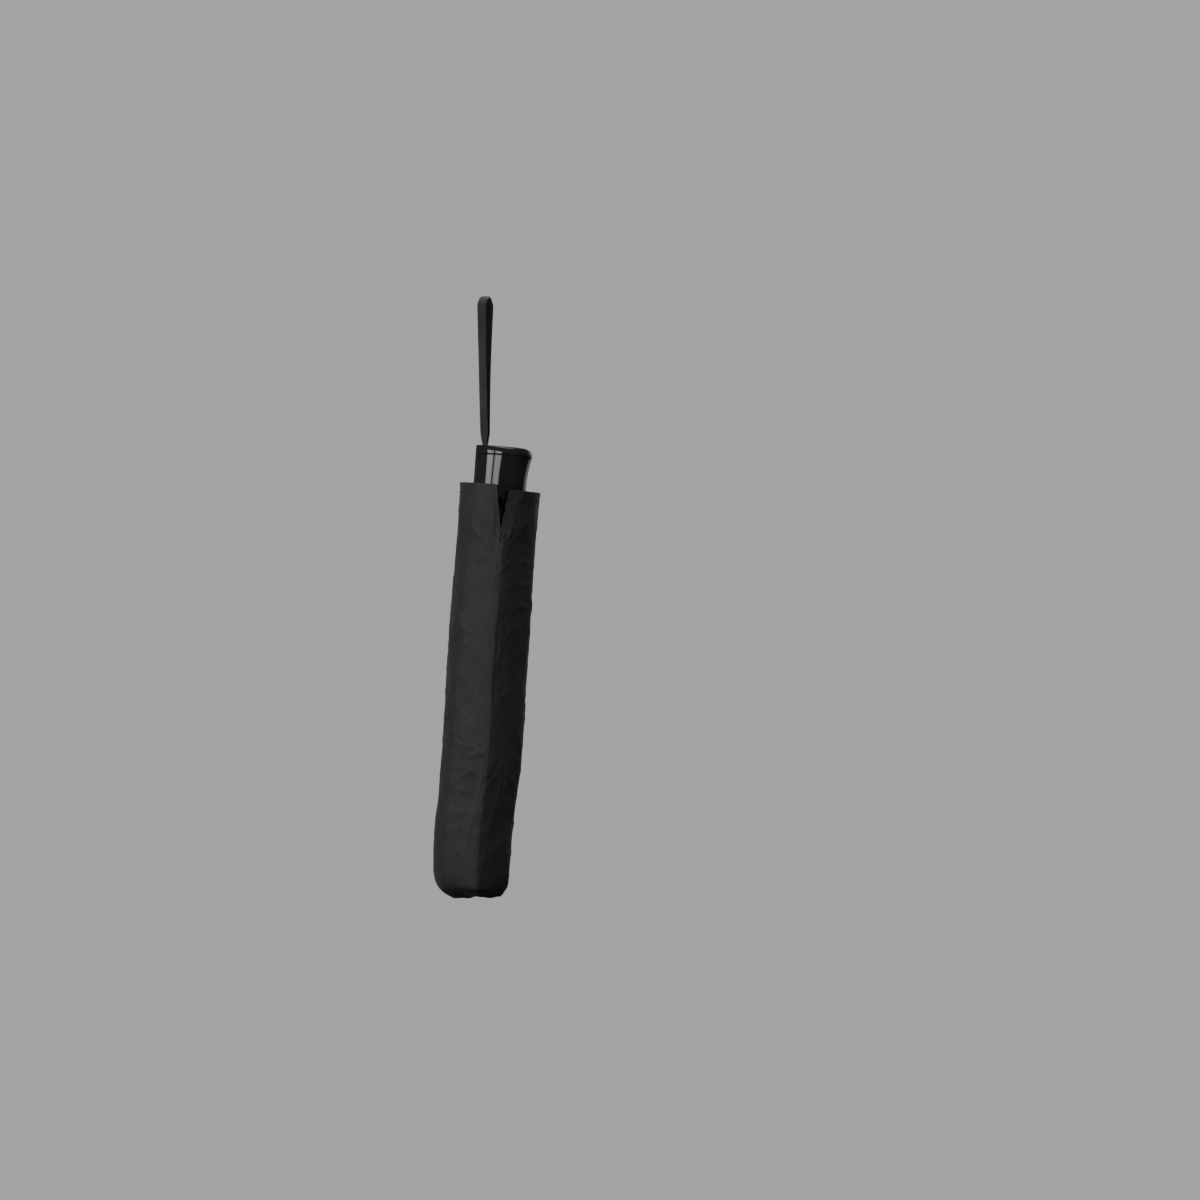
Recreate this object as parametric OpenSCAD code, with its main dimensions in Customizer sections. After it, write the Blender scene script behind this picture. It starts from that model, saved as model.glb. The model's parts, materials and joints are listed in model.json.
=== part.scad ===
// Three-fold automatic pocket umbrella in its fabric sleeve, hanging by its wrist strap.
// Every sub-part is drawn in the shaft's own frame: z = 0 is the outer end of the handle, the crown
// points down. hang() then tilts it to the angle at which it hangs below the strap.

/* [Hanging] */
// Angle of the shaft to the vertical when it hangs by the strap, in degrees
hang_tilt = 4.4; // [0:0.2:8]
// Distance of the strap's hole from the shaft's axis
strap_offset = 11.5; // [11:0.1:13]
// Length of the strap from the hook to the handle
strap_drop = 97; // [80:1:150]
// Width of the strap's tape
tape_w = 5.6; // [5:0.1:9]
// Thickness of the strap's tape
tape_t = 1.0; // [0.8:0.1:1.4]
// Radius of the bar that the loop hangs over
hook_r = 5; // [4:0.5:8]

/* [Handle] */
// Length of the handle
handle_len = 80; // [76:1:84]
// Radius of the grip
grip_r = 17.2; // [16.8:0.1:17.4]
// Radius of the flared outer end
flare_r = 18.6; // [18.3:0.1:18.8]
// Thickness of the end cap at its rim
cap_t = 5; // [4:0.5:6]
// Distance from the outer end to the middle of the push button
button_z = 46; // [42:1:50]

/* [Shaft] */
// Outer radius of the three tubes, from the handle to the crown
tube_r = [6.6, 5.95, 5.3];
// Wall of each tube
tube_wall = 0.5; // [0.4:0.05:0.6]

/* [Frame] */
// Number of ribs
rib_count = 6; // [6:1:6]
// Depth of the crown's pivot circle below the handle's outer end
crown_z = 266; // [262:1:268]
// Radius of the pivot circles on the crown and the runner
pivot_r = 9.4; // [9.2:0.1:9.6]
// Length of the inner rib, between its pivots
inner_len = 174; // [170:1:176]
// Length of the outer rib, from its pivot to its tip
outer_len = 178; // [170:1:179]
// Length of a stretcher, which is also its place on the inner rib
stretcher_len = 84; // [80:1:84]
// Width of a rib channel
rib_w = 3.0; // [2.8:0.1:3.2]

/* [Sleeve] */
// Outer radius of the sleeve
sleeve_r = 25.6; // [25.1:0.1:27]
// Distance of the sleeve's mouth from the handle's outer end
mouth_z = 25; // [20:1:30]
// Distance of the sleeve's closed end from the handle's outer end
sleeve_end = 291; // [288:1:295]
// Depth of the slit in the mouth
slit_len = 29; // [20:1:35]
// Distance of the slit from the middle of the front
slit_x = 2.4; // [0:0.2:4]

/* [Hidden] */
sheet_t = 0.5;                        // wall of a rib channel
gap = 0.05;                           // air between touching solids
rib_step = 360 / rib_count;
// radii of the three stacked ribs in the closed umbrella, inner face and outer face
inner_rib = [pivot_r - 0.8, pivot_r + 1.9];
middle_rib = [inner_rib[1] + 0.4, inner_rib[1] + 2.6];
outer_rib = [middle_rib[1] + 0.4, middle_rib[1] + 2.4];
elbow_r = (inner_rib[1] + middle_rib[0]) / 2;   // pivot of the middle rib
knee_r = (middle_rib[1] + outer_rib[0]) / 2;    // pivot of the outer rib
elbow_z = -crown_z + inner_len;
knee_z = -crown_z + 2;
runner_z = -crown_z + 2 * stretcher_len;
canopy_r = [outer_rib[1] + 0.5, 22.6];          // folded canopy outside the ribs
canopy_z = [-256, -88];
sleeve_wall = 1.1;
ear_r = 1.5;                          // rounded end of a rib at a pivot
fork = 6;                             // length of the gap in a channel at a pivot
tongue = [0.9, 1.0, 9];               // root inside a channel's back, thickness and length of a tongue
cheek_t = 0.8;                        // each side of a clevis
rivet_r = 0.6;
rivet_len = rib_w + 0.4;              // a rivet with its two heads
pin_end_r = 0.85;                     // rounded end of a stretcher
knot_r = 2.0;                         // knot and neck of the strap
neck_r = 1.2;
neck_len = 9;
socket_depth = 0.8;                   // middle of the strap's knot below the cap's face
eyelet_r = [2.4, 3.1];                // hole and outside of the strap's eyelet
screw_r = 1.2;
shoulder_z = [13, 26];                // where the flare of the grip eases off, and where it ends
collar = [2.4, 10];                   // proud edge and length of the collar at the handle's inner end
button_size = [8.4, 16.4];            // width and length of the push button
button_proud = 1.2;
button_air = 0.6;                     // the button's opening is wider than the button by this
button_wire = 0.25;                   // wire of the button's spring
spring_wire = 0.5;                    // wire of the opening spring
crown_wire_r = 0.6;
crown_stem_r = 2;
notch_air = 0.3;                      // air at each side of a rib in its notch
tube_top = -30;                       // upper end of the outer tube
flare_x = 0.9;                        // the handle's end flares towards +x only
shell_bore = 13.4;                    // hollow of the handle
hollow_z = 60;                        // depth of that hollow
plate_y = [-12.4, -11.4];             // latch plate behind the push button
$fn = 48;

// ---- placing ----

// Carries a child from the shaft's frame to the frame of the hanging umbrella.
module hang() {
    translate([0, 0, -strap_drop]) rotate([0, hang_tilt, 0])
        translate([strap_offset, 0, socket_depth]) children();
}

// Places a child on rib number i. The child is drawn with the rib's plane as y = 0.
module at_rib(i) {
    hang() rotate([0, 0, -90 + rib_step / 2 + rib_step * (i - 1)]) children();
}

// Cylinder along y, centred on y = 0, for pivots.
module cross_pin(r, w, x = 0, z = 0) {
    translate([x, 0, z]) rotate([90, 0, 0]) cylinder(r = r, h = w, center = true);
}

// Box from its lowest to its highest corner.
module span(lo, hi) {
    translate(lo) cube(hi - lo);
}

// Tube swept along a helix about z.
function ring_point(p, a, c, r, sides, k) =
    let (b = 360 * k / sides) p + r * (cos(b) * [cos(a), sin(a), 0] + sin(b) * c);
module coil(r, wire_r, turns, h, steps = 12, sides = 5) {
    rings = turns * steps;
    points = [for (n = [0 : rings], k = [0 : sides - 1])
        let (a = 360 * n / steps, p = [r * cos(a), r * sin(a), h * n / rings])
        ring_point(p, a, [0, 0, 1], wire_r, sides, k)];
    walls = [for (n = [0 : rings - 1], k = [0 : sides - 1], half = [0, 1])
        let (a = n * sides + k, b = n * sides + (k + 1) % sides)
        half == 0 ? [a, b, b + sides] : [a, b + sides, a + sides]];
    ends = [[for (k = [sides - 1 : -1 : 0]) k], [for (k = [0 : sides - 1]) rings * sides + k]];
    polyhedron(points, concat(walls, ends));
}

// ---- wrist strap ----

// Outline of the tape loop seen along the hook: a round top that narrows to the gathered neck.
module loop_outline(r_top, r_low, drop) {
    slope = asin((r_top - r_low) / (drop - r_top));
    translate([0, -hook_r]) circle(r = r_top);
    polygon([
        [r_top * cos(slope), -hook_r - r_top * sin(slope)],
        [r_low * cos(slope), -drop - r_low * sin(slope)],
        [-r_low * cos(slope), -drop - r_low * sin(slope)],
        [-r_top * cos(slope), -hook_r - r_top * sin(slope)]]);
}

module wrist_strap() color([0.06, 0.06, 0.065]) {
    lap = 2;             // length over which the tape runs into the neck
    narrows_z = -60;     // below this height the tape narrows
    // tape: the loop, cut to the tape's width, which narrows towards the neck
    intersection() {
        rotate([90, 0, 90]) linear_extrude(tape_w, center = true) difference() {
            loop_outline(hook_r + tape_t, neck_r + 0.1, strap_drop - neck_len + lap);
            loop_outline(hook_r, 0.3, strap_drop - neck_len - lap);
        }
        rotate([90, 0, 0]) linear_extrude(4 * hook_r, center = true) polygon([
            [-tape_w / 2, 2 * hook_r], [tape_w / 2, 2 * hook_r], [tape_w / 2, narrows_z],
            [neck_r, -strap_drop + neck_len], [-neck_r, -strap_drop + neck_len],
            [-tape_w / 2, narrows_z]]);
    }
    // gathered neck and the knot that sits in the end cap
    translate([0, 0, -strap_drop]) {
        cylinder(r = neck_r, h = neck_len + lap);
        sphere(r = knot_r);
    }
}

// ---- handle ----

module strap_hole(r, depth) {
    translate([-strap_offset, 0, -depth]) cylinder(r = r, h = depth + 4);
}

module strap_eyelet() color([0.1, 0.1, 0.1]) hang() {
    height = 3.6;
    difference() {
        translate([-strap_offset, 0, -height]) cylinder(r = eyelet_r[1], h = height);
        strap_hole(eyelet_r[0], cap_t + 1);
        // countersink that lets the strap swing
        translate([-strap_offset, 0, -1.4]) cylinder(r1 = 2.2, r2 = 4.4, h = 1.8);
    }
}

// Disc of the flared handle end, z below the outer end, centred on x.
module grip_disc(x, z, r, lean = 0) {
    translate([x, 0, -z]) rotate([0, lean, 0]) cylinder(r = r, h = 0.2, $fn = 32);
}

module end_cap() color([0.02, 0.02, 0.02]) hang() difference() {
    union() {
        hull() {
            grip_disc(flare_x, 0.6, flare_r - 1.2, 5);
            grip_disc(flare_x, 1.8, flare_r - 0.1, 5);
            grip_disc(flare_x, cap_t, flare_r - 0.3, 5);
        }
        // plug that centres the cap in the shell
        translate([0, 0, -cap_t - 3]) cylinder(r = shell_bore - 0.2, h = 4);
    }
    strap_hole(eyelet_r[1] + gap, cap_t + 4);
    translate([0, 0, -cap_t - 4]) cylinder(r = screw_r + gap, h = 5);
}

module cap_screw() color([0.5, 0.5, 0.5]) hang() {
    head = [2.6, 1.8];
    translate([0, 0, -cap_t - 3.6]) cylinder(r = screw_r, h = 4);
    translate([0, 0, -cap_t - 5.1]) cylinder(r = head[0], h = head[1]);
}

module button_outline(w, h) {
    hull() for (s = [-1, 1]) translate([0, s * (h - w) / 2]) circle(d = w, $fn = 32);
}

module handle_shell() color([0.02, 0.02, 0.02]) hang() difference() {
    union() {
        hull() {
            grip_disc(flare_x, cap_t + 0.45, flare_r - 0.3, 5);
            grip_disc(0.3, shoulder_z[0], grip_r + 0.35, 2);
        }
        hull() {
            grip_disc(0.3, shoulder_z[0], grip_r + 0.35, 2);
            grip_disc(0, shoulder_z[1], grip_r);
        }
        translate([0, 0, -handle_len]) cylinder(r = grip_r, h = handle_len - shoulder_z[1] + 0.1);
        // collar that faces the folded canopy
        translate([0, 0, -handle_len]) cylinder(r1 = grip_r + collar[0], r2 = grip_r, h = collar[1]);
    }
    translate([0, 0, -hollow_z]) cylinder(r = shell_bore, h = hollow_z);
    // socket of the shaft
    translate([0, 0, -handle_len - 1]) cylinder(r = tube_r[0] + gap, h = handle_len);
    translate([0, -grip_r - 2, -button_z]) rotate([-90, 0, 0]) linear_extrude(8)
        button_outline(button_size[0] + button_air, button_size[1] + button_air);
}

module push_button() color([0.03, 0.03, 0.03]) hang() {
    translate([0, -grip_r - button_proud, -button_z]) rotate([-90, 0, 0])
        linear_extrude(plate_y[0] + grip_r + button_proud - gap)
        button_outline(button_size[0], button_size[1]);
}

module latch_plate() color([0.55, 0.55, 0.56]) hang() difference() {
    span([-3.8, plate_y[0], -button_z - 8], [3.8, plate_y[1], -button_z + 12]);
    translate([0, plate_y[0], -button_z + 8]) cross_pin(1.5, 4);
}

module button_spring() color([0.6, 0.6, 0.6]) hang()
    translate([0, plate_y[1] + button_wire + gap, -button_z]) rotate([-90, 0, 0])
        coil(2, button_wire, 5, -plate_y[1] - tube_r[0] - 1.3);

// ---- shaft ----

// Tube number n, 0 at the handle, with a rolled stop bead at the end that faces the handle.
module shaft_tube(n, z_top, z_end) {
    translate([0, 0, z_end]) difference() {
        cylinder(r = tube_r[n], h = z_top - z_end);
        translate([0, 0, -1]) cylinder(r = tube_r[n] - tube_wall, h = z_top - z_end + 2);
    }
}

module outer_tube() color([0.62, 0.62, 0.63]) hang() shaft_tube(0, tube_top, -252);
module middle_tube() color([0.62, 0.62, 0.63]) hang() shaft_tube(1, tube_top - 1, -256);
module inner_tube() color([0.62, 0.62, 0.63]) hang() shaft_tube(2, tube_top - 2, -crown_z + 1.95);

module opening_spring() color([0.55, 0.55, 0.55]) hang()
    translate([0, 0, -crown_z + 8]) coil(3.9, spring_wire, 22, crown_z - 44);

// ---- crown and runner ----

// Notched ring of a crown or runner: slots for the ribs and, where wired, a groove for the pivot wire.
module notched_flange(lo, hi, floor_r, wired) {
    groove = crown_wire_r + gap;
    difference() {
        translate([0, 0, lo]) cylinder(r = pivot_r + 1.6, h = hi - lo);
        for (i = [1 : rib_count]) rotate([0, 0, -90 + rib_step / 2 + rib_step * (i - 1)])
            span([floor_r, -rib_w / 2 - notch_air, lo - 1], [pivot_r + 4, rib_w / 2 + notch_air, hi + 1]);
        if (wired) difference() {
            translate([0, 0, -groove]) cylinder(r = pivot_r + 4, h = 2 * groove);
            translate([0, 0, -1]) cylinder(r = pivot_r - groove, h = 2);
        }
    }
}

module crown_notch() color([0.05, 0.05, 0.05]) hang() translate([0, 0, -crown_z]) difference() {
    union() {
        notched_flange(-2.3, 2, pivot_r - 1.5, true);
        translate([0, 0, 1.9]) cylinder(r = tube_r[2] + 0.6, h = 1.6);
    }
    // seat of the inner tube, and the hole of the crown cap's stem
    translate([0, 0, 1.9]) cylinder(r = tube_r[2] + gap, h = 4);
    translate([0, 0, -3]) cylinder(r = crown_stem_r + gap, h = 6);
}

module crown_wire() color([0.6, 0.6, 0.6]) hang() translate([0, 0, -crown_z])
    rotate_extrude() translate([pivot_r, 0]) circle(r = crown_wire_r, $fn = 24);

// Ferrule that clamps the middle of the canopy, with the stem that holds it in the crown.
module crown_cap() color([0.03, 0.03, 0.03]) hang() translate([0, 0, -crown_z]) {
    rotate_extrude() polygon([
        [0, -2.6], [11.4, -2.6], [12, -3.2], [12, -4.4], [9.5, -6.4], [7.5, -9], [6.6, -12.2], [5.2, -13.6],
        [0, -13.6]]);
    translate([0, 0, -2.7]) cylinder(r = crown_stem_r, h = 4.2);
}

module runner() color([0.05, 0.05, 0.05]) hang() translate([0, 0, runner_z]) difference() {
    union() {
        notched_flange(-2, 2, pivot_r - 1.3, false);
        translate([0, 0, 1]) cylinder(r = pivot_r - 1.3, h = 13);
    }
    translate([0, 0, -3]) cylinder(r = tube_r[0] + 0.3, h = 20);
}

// ---- ribs ----

// Channel that is open towards the shaft, from z0 to z1, between the radii in faces.
module channel(faces, z0, z1) {
    difference() {
        span([faces[0], -rib_w / 2, z0], [faces[1], rib_w / 2, z1]);
        span([faces[0] - 1, -rib_w / 2 + sheet_t, z0 - 1],
             [faces[1] - sheet_t - 0.1, rib_w / 2 - sheet_t, z1 + 1]);
    }
}

module rib_inner(i) color([0.4, 0.4, 0.41]) at_rib(i) {
    difference() {
        union() {
            channel(inner_rib, -crown_z + 1.6, elbow_z - fork);
            // eye on the crown's wire
            span([pivot_r - 0.8, -rib_w / 2, -crown_z], [inner_rib[1], rib_w / 2, -crown_z + 3.2]);
            cross_pin(1.3, rib_w, pivot_r, -crown_z);
            // tongue that carries the middle rib
            span([inner_rib[1] - tongue[0], -tongue[1] / 2, elbow_z - tongue[2]],
                 [elbow_r + 1, tongue[1] / 2, elbow_z]);
            span([inner_rib[1] - tongue[0], -rib_w / 2, elbow_z - tongue[2]],
                 [inner_rib[1], rib_w / 2, elbow_z - fork]);
            cross_pin(ear_r, tongue[1], elbow_r, elbow_z);
        }
        cross_pin(crown_wire_r + 0.35, 2 * rib_w, pivot_r, -crown_z);
        cross_pin(rivet_r + gap, 2 * rib_w, elbow_r, elbow_z);
        cross_pin(rivet_r + gap, 2 * rib_w, pivot_r, -crown_z + stretcher_len);
        // keeps the tongue inside the folded middle rib
        span([elbow_r - 0.1, -1, elbow_z - 12], [elbow_r + 4, 1, elbow_z - ear_r]);
    }
}

// Two cheeks of a clevis round a pivot at (x, z), joined to the rib that runs towards z_to.
module cheeks(x, z, z_to, faces) {
    half = cheek_t / 2;
    for (s = [-1, 1]) translate([0, s * (rib_w / 2 - half), 0]) {
        cross_pin(ear_r, cheek_t, x, z);
        span([min(x - 0.9, faces[0]), -half, min(z, z_to)], [max(x + 0.9, faces[1]), half, max(z, z_to)]);
    }
}

module rib_middle(i) color([0.4, 0.4, 0.41]) at_rib(i) {
    difference() {
        union() {
            channel(middle_rib, knee_z + fork, elbow_z - 2.6);
            cheeks(elbow_r, elbow_z, elbow_z - 4, middle_rib);
            // tongue that carries the outer rib
            span([middle_rib[1] - tongue[0], -tongue[1] / 2, knee_z],
                 [knee_r + 1, tongue[1] / 2, knee_z + tongue[2]]);
            span([middle_rib[1] - tongue[0], -rib_w / 2, knee_z + fork],
                 [middle_rib[1], rib_w / 2, knee_z + tongue[2]]);
            cross_pin(ear_r, tongue[1], knee_r, knee_z);
        }
        cross_pin(rivet_r + gap, 2 * rib_w, knee_r, knee_z);
        span([knee_r - 0.1, -1, knee_z + ear_r], [knee_r + 4, 1, knee_z + 12]);
    }
    cross_pin(rivet_r, rivet_len, elbow_r, elbow_z);
}

// Rod with a forked joint at the knee and a moulded tip that the canopy is sewn to.
module rib_outer(i) color([0.12, 0.12, 0.12]) at_rib(i) {
    mid = (outer_rib[0] + outer_rib[1]) / 2;
    tip = knee_z + outer_len;
    rod_r = 0.8;
    tip_len = 5;
    cheeks(knee_r, knee_z, knee_z + 4, outer_rib);
    cross_pin(rivet_r, rivet_len, knee_r, knee_z);
    span([outer_rib[0], -rib_w / 2, knee_z + 2.6], [outer_rib[1], rib_w / 2, knee_z + 10]);
    translate([mid, 0, knee_z + 5]) cylinder(r = rod_r, h = outer_len - 6, $fn = 24);
    translate([mid, 0, tip - tip_len]) cylinder(r1 = rod_r + 0.1, r2 = rod_r + 0.3, h = tip_len, $fn = 24);
    translate([mid, 0, tip]) sphere(r = rod_r + 0.4, $fn = 24);
}

module stretcher(i) color([0.4, 0.4, 0.41]) at_rib(i) {
    z0 = -crown_z + stretcher_len;
    w = rib_w - 2 * sheet_t - 0.3;
    span([pivot_r - 0.8, -w / 2, z0], [pivot_r + 0.8, w / 2, runner_z]);
    cross_pin(pin_end_r, w, pivot_r, z0);
    cross_pin(pin_end_r, w, pivot_r, runner_z);
    cross_pin(rivet_r, rivet_len, pivot_r, z0);
}

// ---- canopy, folded between and around the ribs ----

// Wedge of folded cloth between rib i and the next, from r0 to r1, leaving margin degrees at each side.
module cloth_wedge(i, r, z, margin) {
    at_rib(i) translate([0, 0, z[0]]) rotate([0, 0, margin])
        rotate_extrude(angle = rib_step - 2 * margin) translate([r[0], 0]) square([r[1] - r[0], z[1] - z[0]]);
}

module canopy_inner(i) color([0.05, 0.05, 0.05])
    cloth_wedge(i, [inner_rib[0] + 0.2, inner_rib[1] - 0.1], [-crown_z + 6, runner_z - 5], 15);
module canopy_middle(i) color([0.05, 0.05, 0.05])
    cloth_wedge(i, [middle_rib[0] + 0.1, outer_rib[1] - 0.1], [-crown_z + 6, canopy_z[1]], 11);
module canopy_outer(i) color([0.05, 0.05, 0.05])
    cloth_wedge(i, canopy_r, canopy_z, 0.5);

module closing_strap() color([0.05, 0.05, 0.05]) hang() translate([0, 0, -118]) difference() {
    width = 13;
    cylinder(r = canopy_r[1] + 1.1, h = width);
    translate([0, 0, -1]) cylinder(r = canopy_r[1] + 0.3, h = width + 2);
}

// ---- sleeve ----

// Outline of the sleeve's side, which draws in towards its closed end.
function sleeve_profile(r) = [
    [r, -mouth_z], [r, 41 - sleeve_end], [r - 1, 25 - sleeve_end], [r - 3.2, 10 - sleeve_end]];

module sleeve() color([0.07, 0.07, 0.075]) hang() difference() {
    rotate_extrude() polygon(concat([[0, -sleeve_end]], [[sleeve_r - 8.5, -sleeve_end]],
        [for (k = [3 : -1 : 0]) sleeve_profile(sleeve_r)[k]],
        sleeve_profile(sleeve_r - sleeve_wall),
        [[sleeve_r - 9.4, -sleeve_end + sleeve_wall], [0, -sleeve_end + sleeve_wall]]));
    half = 4.5;          // half of the slit's width at the mouth
    translate([slit_x, -sleeve_r, -mouth_z]) rotate([90, 0, 0]) linear_extrude(16, center = true)
        polygon([[-half, 1], [half, 1], [half, 0], [0, -slit_len], [-half, 0]]);
}

// ---- output ----

wrist_strap();
strap_eyelet();
end_cap();
cap_screw();
handle_shell();
push_button();
latch_plate();
button_spring();
outer_tube();
middle_tube();
inner_tube();
opening_spring();
crown_notch();
crown_wire();
crown_cap();
runner();
closing_strap();
sleeve();
for (i = [1 : rib_count]) {
    rib_inner(i);
    rib_middle(i);
    rib_outer(i);
    stretcher(i);
    canopy_inner(i);
    canopy_middle(i);
    canopy_outer(i);
}
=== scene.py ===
"""Looks of the folding umbrella: its sleeve, strap, handle and cloth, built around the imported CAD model."""
import json
import math

import bpy
import numpy as np
from mathutils import Matrix, Vector


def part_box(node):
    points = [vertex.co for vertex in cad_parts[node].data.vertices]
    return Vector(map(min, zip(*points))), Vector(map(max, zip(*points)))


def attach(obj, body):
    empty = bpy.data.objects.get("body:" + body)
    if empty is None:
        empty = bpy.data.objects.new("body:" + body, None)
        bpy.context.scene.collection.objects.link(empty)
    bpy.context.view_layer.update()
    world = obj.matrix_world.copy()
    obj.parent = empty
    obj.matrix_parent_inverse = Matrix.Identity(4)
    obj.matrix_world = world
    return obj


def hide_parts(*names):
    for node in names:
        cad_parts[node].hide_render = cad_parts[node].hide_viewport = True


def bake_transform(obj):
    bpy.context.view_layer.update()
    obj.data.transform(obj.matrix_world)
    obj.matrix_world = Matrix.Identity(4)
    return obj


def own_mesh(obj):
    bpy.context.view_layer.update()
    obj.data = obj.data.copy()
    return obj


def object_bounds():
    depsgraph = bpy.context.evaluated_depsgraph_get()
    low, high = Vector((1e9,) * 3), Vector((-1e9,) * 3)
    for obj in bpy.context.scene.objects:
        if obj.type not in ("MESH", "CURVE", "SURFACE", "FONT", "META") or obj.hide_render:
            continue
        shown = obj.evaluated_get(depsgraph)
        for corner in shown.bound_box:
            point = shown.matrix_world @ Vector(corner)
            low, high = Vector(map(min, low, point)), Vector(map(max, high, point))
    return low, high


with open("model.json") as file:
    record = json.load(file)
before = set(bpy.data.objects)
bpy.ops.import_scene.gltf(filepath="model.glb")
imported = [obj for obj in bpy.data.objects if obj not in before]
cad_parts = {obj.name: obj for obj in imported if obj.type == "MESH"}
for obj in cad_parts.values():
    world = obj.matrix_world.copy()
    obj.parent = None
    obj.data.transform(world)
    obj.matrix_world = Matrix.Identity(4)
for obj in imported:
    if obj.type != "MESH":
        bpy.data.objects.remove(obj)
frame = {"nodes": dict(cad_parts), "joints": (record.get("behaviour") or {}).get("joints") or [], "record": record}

CAD_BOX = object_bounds()
MM = 0.001
JOINTS = {j["name"]: j for j in frame["joints"]}
RATIOS = {c["joint"]: c["ratio"] for c in frame["record"]["behaviour"]["couplings"]}
RIBS = 6
ZONES = ("inner", "middle", "outer")
TRAVEL = JOINTS["open"]["range_m"][1]


# ---- the umbrella's own frame: origin on the shaft's axis at the crown's pivots, h towards the handle ----

def vec(values):
    """Float array of a sequence."""
    return np.array(values, float)


KNOT = vec(JOINTS["strap_swing"]["pos_m"])
UP = -vec(JOINTS["sleeve_pull"]["axis"])
FRONT = vec((0, -1, 0))
RIGHT = np.cross(UP, FRONT)
RIGHT /= np.linalg.norm(RIGHT)
CROWN = np.mean([JOINTS[f"rib_inner_hinge_{i}"]["pos_m"] for i in range(1, RIBS + 1)], axis=0)


def shaft(x, y, h):
    """Points from x to the right, y to the back and h above the crown's pivots. Arrays broadcast."""
    x, y, h = np.broadcast_arrays(x, y, h)
    return CROWN + x[..., None] * RIGHT - y[..., None] * FRONT + h[..., None] * UP


def polar(r, angle, h):
    """Points from radius r, angle from the right towards the back, and h. Arrays broadcast."""
    return shaft(r * np.cos(angle), r * np.sin(angle), h)


def reach(node, direction):
    """Lowest and highest place of a CAD node along a direction, measured from the crown."""
    points = np.array([v.co for v in frame["nodes"][node].data.vertices], float)
    h = (points - CROWN) @ direction
    return h.min(), h.max()


def azimuth(i):
    """Angle of rib i round the shaft, from RIGHT towards the back."""
    p = vec(JOINTS[f"rib_inner_hinge_{(i - 1) % RIBS + 1}"]["pos_m"]) - CROWN
    return math.atan2(-p @ FRONT, p @ RIGHT)


def smooth(t):
    """Soft step from 0 at t = 0 to 1 at t = 1."""
    t = np.clip(t, 0, 1)
    return t * t * (3 - 2 * t)


def bump(t, width):
    """Rounded bump that is 1 at t = 0 and fades out over width."""
    return np.exp(-(np.asarray(t) / width) ** 2)


def uv_grid(across, along):
    """UV coordinates in metres for a grid of points. Arrays broadcast."""
    return np.stack(np.broadcast_arrays(across, along), axis=-1)


# ---- camera and light ----

STAGE_MIDDLE = (0, 0, -0.25)
PALE = (0.86, 0.87, 0.89, 1)
BACKDROP_STRENGTH = 0.5
# strength of the room light from below up to the side, by the height of its direction
ROOM_LIGHT = {"From Min": -0.6, "From Max": 0.25, "To Min": 0.025, "To Max": 0.11}
LIGHT_SPREAD = math.radians(75)
SOFTBOX_DISTANCE = 2.4
FLOOR_RADIUS = 4.0
FLOOR_DROP = 1.3


def look_at(obj, target):
    """Turn a camera or light towards a point."""
    obj.rotation_euler = (Vector(target) - obj.location).to_track_quat("-Z", "Y").to_euler()


def make_camera():
    """Level camera in front of the umbrella, which hangs left of the middle of the frame."""
    data = bpy.data.cameras.new("camera")
    data.sensor_width = 36
    distance = 2.6
    frame_width = 0.78
    data.lens = data.sensor_width * distance / frame_width
    camera = bpy.data.objects.new("camera", data)
    centre = (0.0745, 0.0, -0.1965)
    camera.location = (centre[0], -distance, centre[2])
    bpy.context.scene.collection.objects.link(camera)
    look_at(camera, centre)
    bpy.context.scene.camera = camera


def area_light(name, place, size, power, mirrored=True):
    """Rectangular light aimed at the middle of the stage. If not mirrored, reflections don't show it."""
    data = bpy.data.lights.new(name, "AREA")
    data.shape = "RECTANGLE"
    data.size, data.size_y = size
    data.energy = power
    data.spread = LIGHT_SPREAD
    light = bpy.data.objects.new(name, data)
    light.location = place
    light.visible_glossy = mirrored
    bpy.context.scene.collection.objects.link(light)
    look_at(light, STAGE_MIDDLE)


def make_world():
    """Pale backdrop for the camera, and a much darker room for reflections and fill.

    The room is darkest towards the ground, where the photograph's umbrella has no light from below.
    """
    world = bpy.data.worlds.new("studio")
    bpy.context.scene.world = world
    world.use_nodes = True
    n = Nodes(world)
    backdrop = n.tree.nodes["Background"]
    n.feed(backdrop, {"Color": PALE, "Strength": BACKDROP_STRENGTH})
    direction = n.add("ShaderNodeTexCoord").outputs["Generated"]
    height = n.add("ShaderNodeSeparateXYZ", {"Vector": direction}).outputs["Z"]
    level = n.add("ShaderNodeMapRange", {"Value": height, **ROOM_LIGHT}).outputs["Result"]
    room = n.add("ShaderNodeBackground", {"Color": PALE, "Strength": level}).outputs[0]
    seen = n.add("ShaderNodeLightPath").outputs["Is Camera Ray"]
    mix = n.add("ShaderNodeMixShader", {"Fac": seen, 1: room, 2: backdrop.outputs[0]})
    n.feed(n.tree.nodes["World Output"], {"Surface": mix.outputs[0]})


def softbox(name, left, right, height, rise, radiance):
    """Tall light that fills the azimuths left..right, in degrees from the front; minus is left."""
    middle, half = math.radians((left + right) / 2), math.radians((right - left) / 2)
    towards = vec((math.sin(middle), -math.cos(middle), 0))
    place = vec(STAGE_MIDDLE) + SOFTBOX_DISTANCE * towards + vec((0, 0, rise))
    width = 2 * SOFTBOX_DISTANCE * math.tan(half)
    area_light(name, place, (width, height), radiance * math.pi * width * height)


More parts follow.
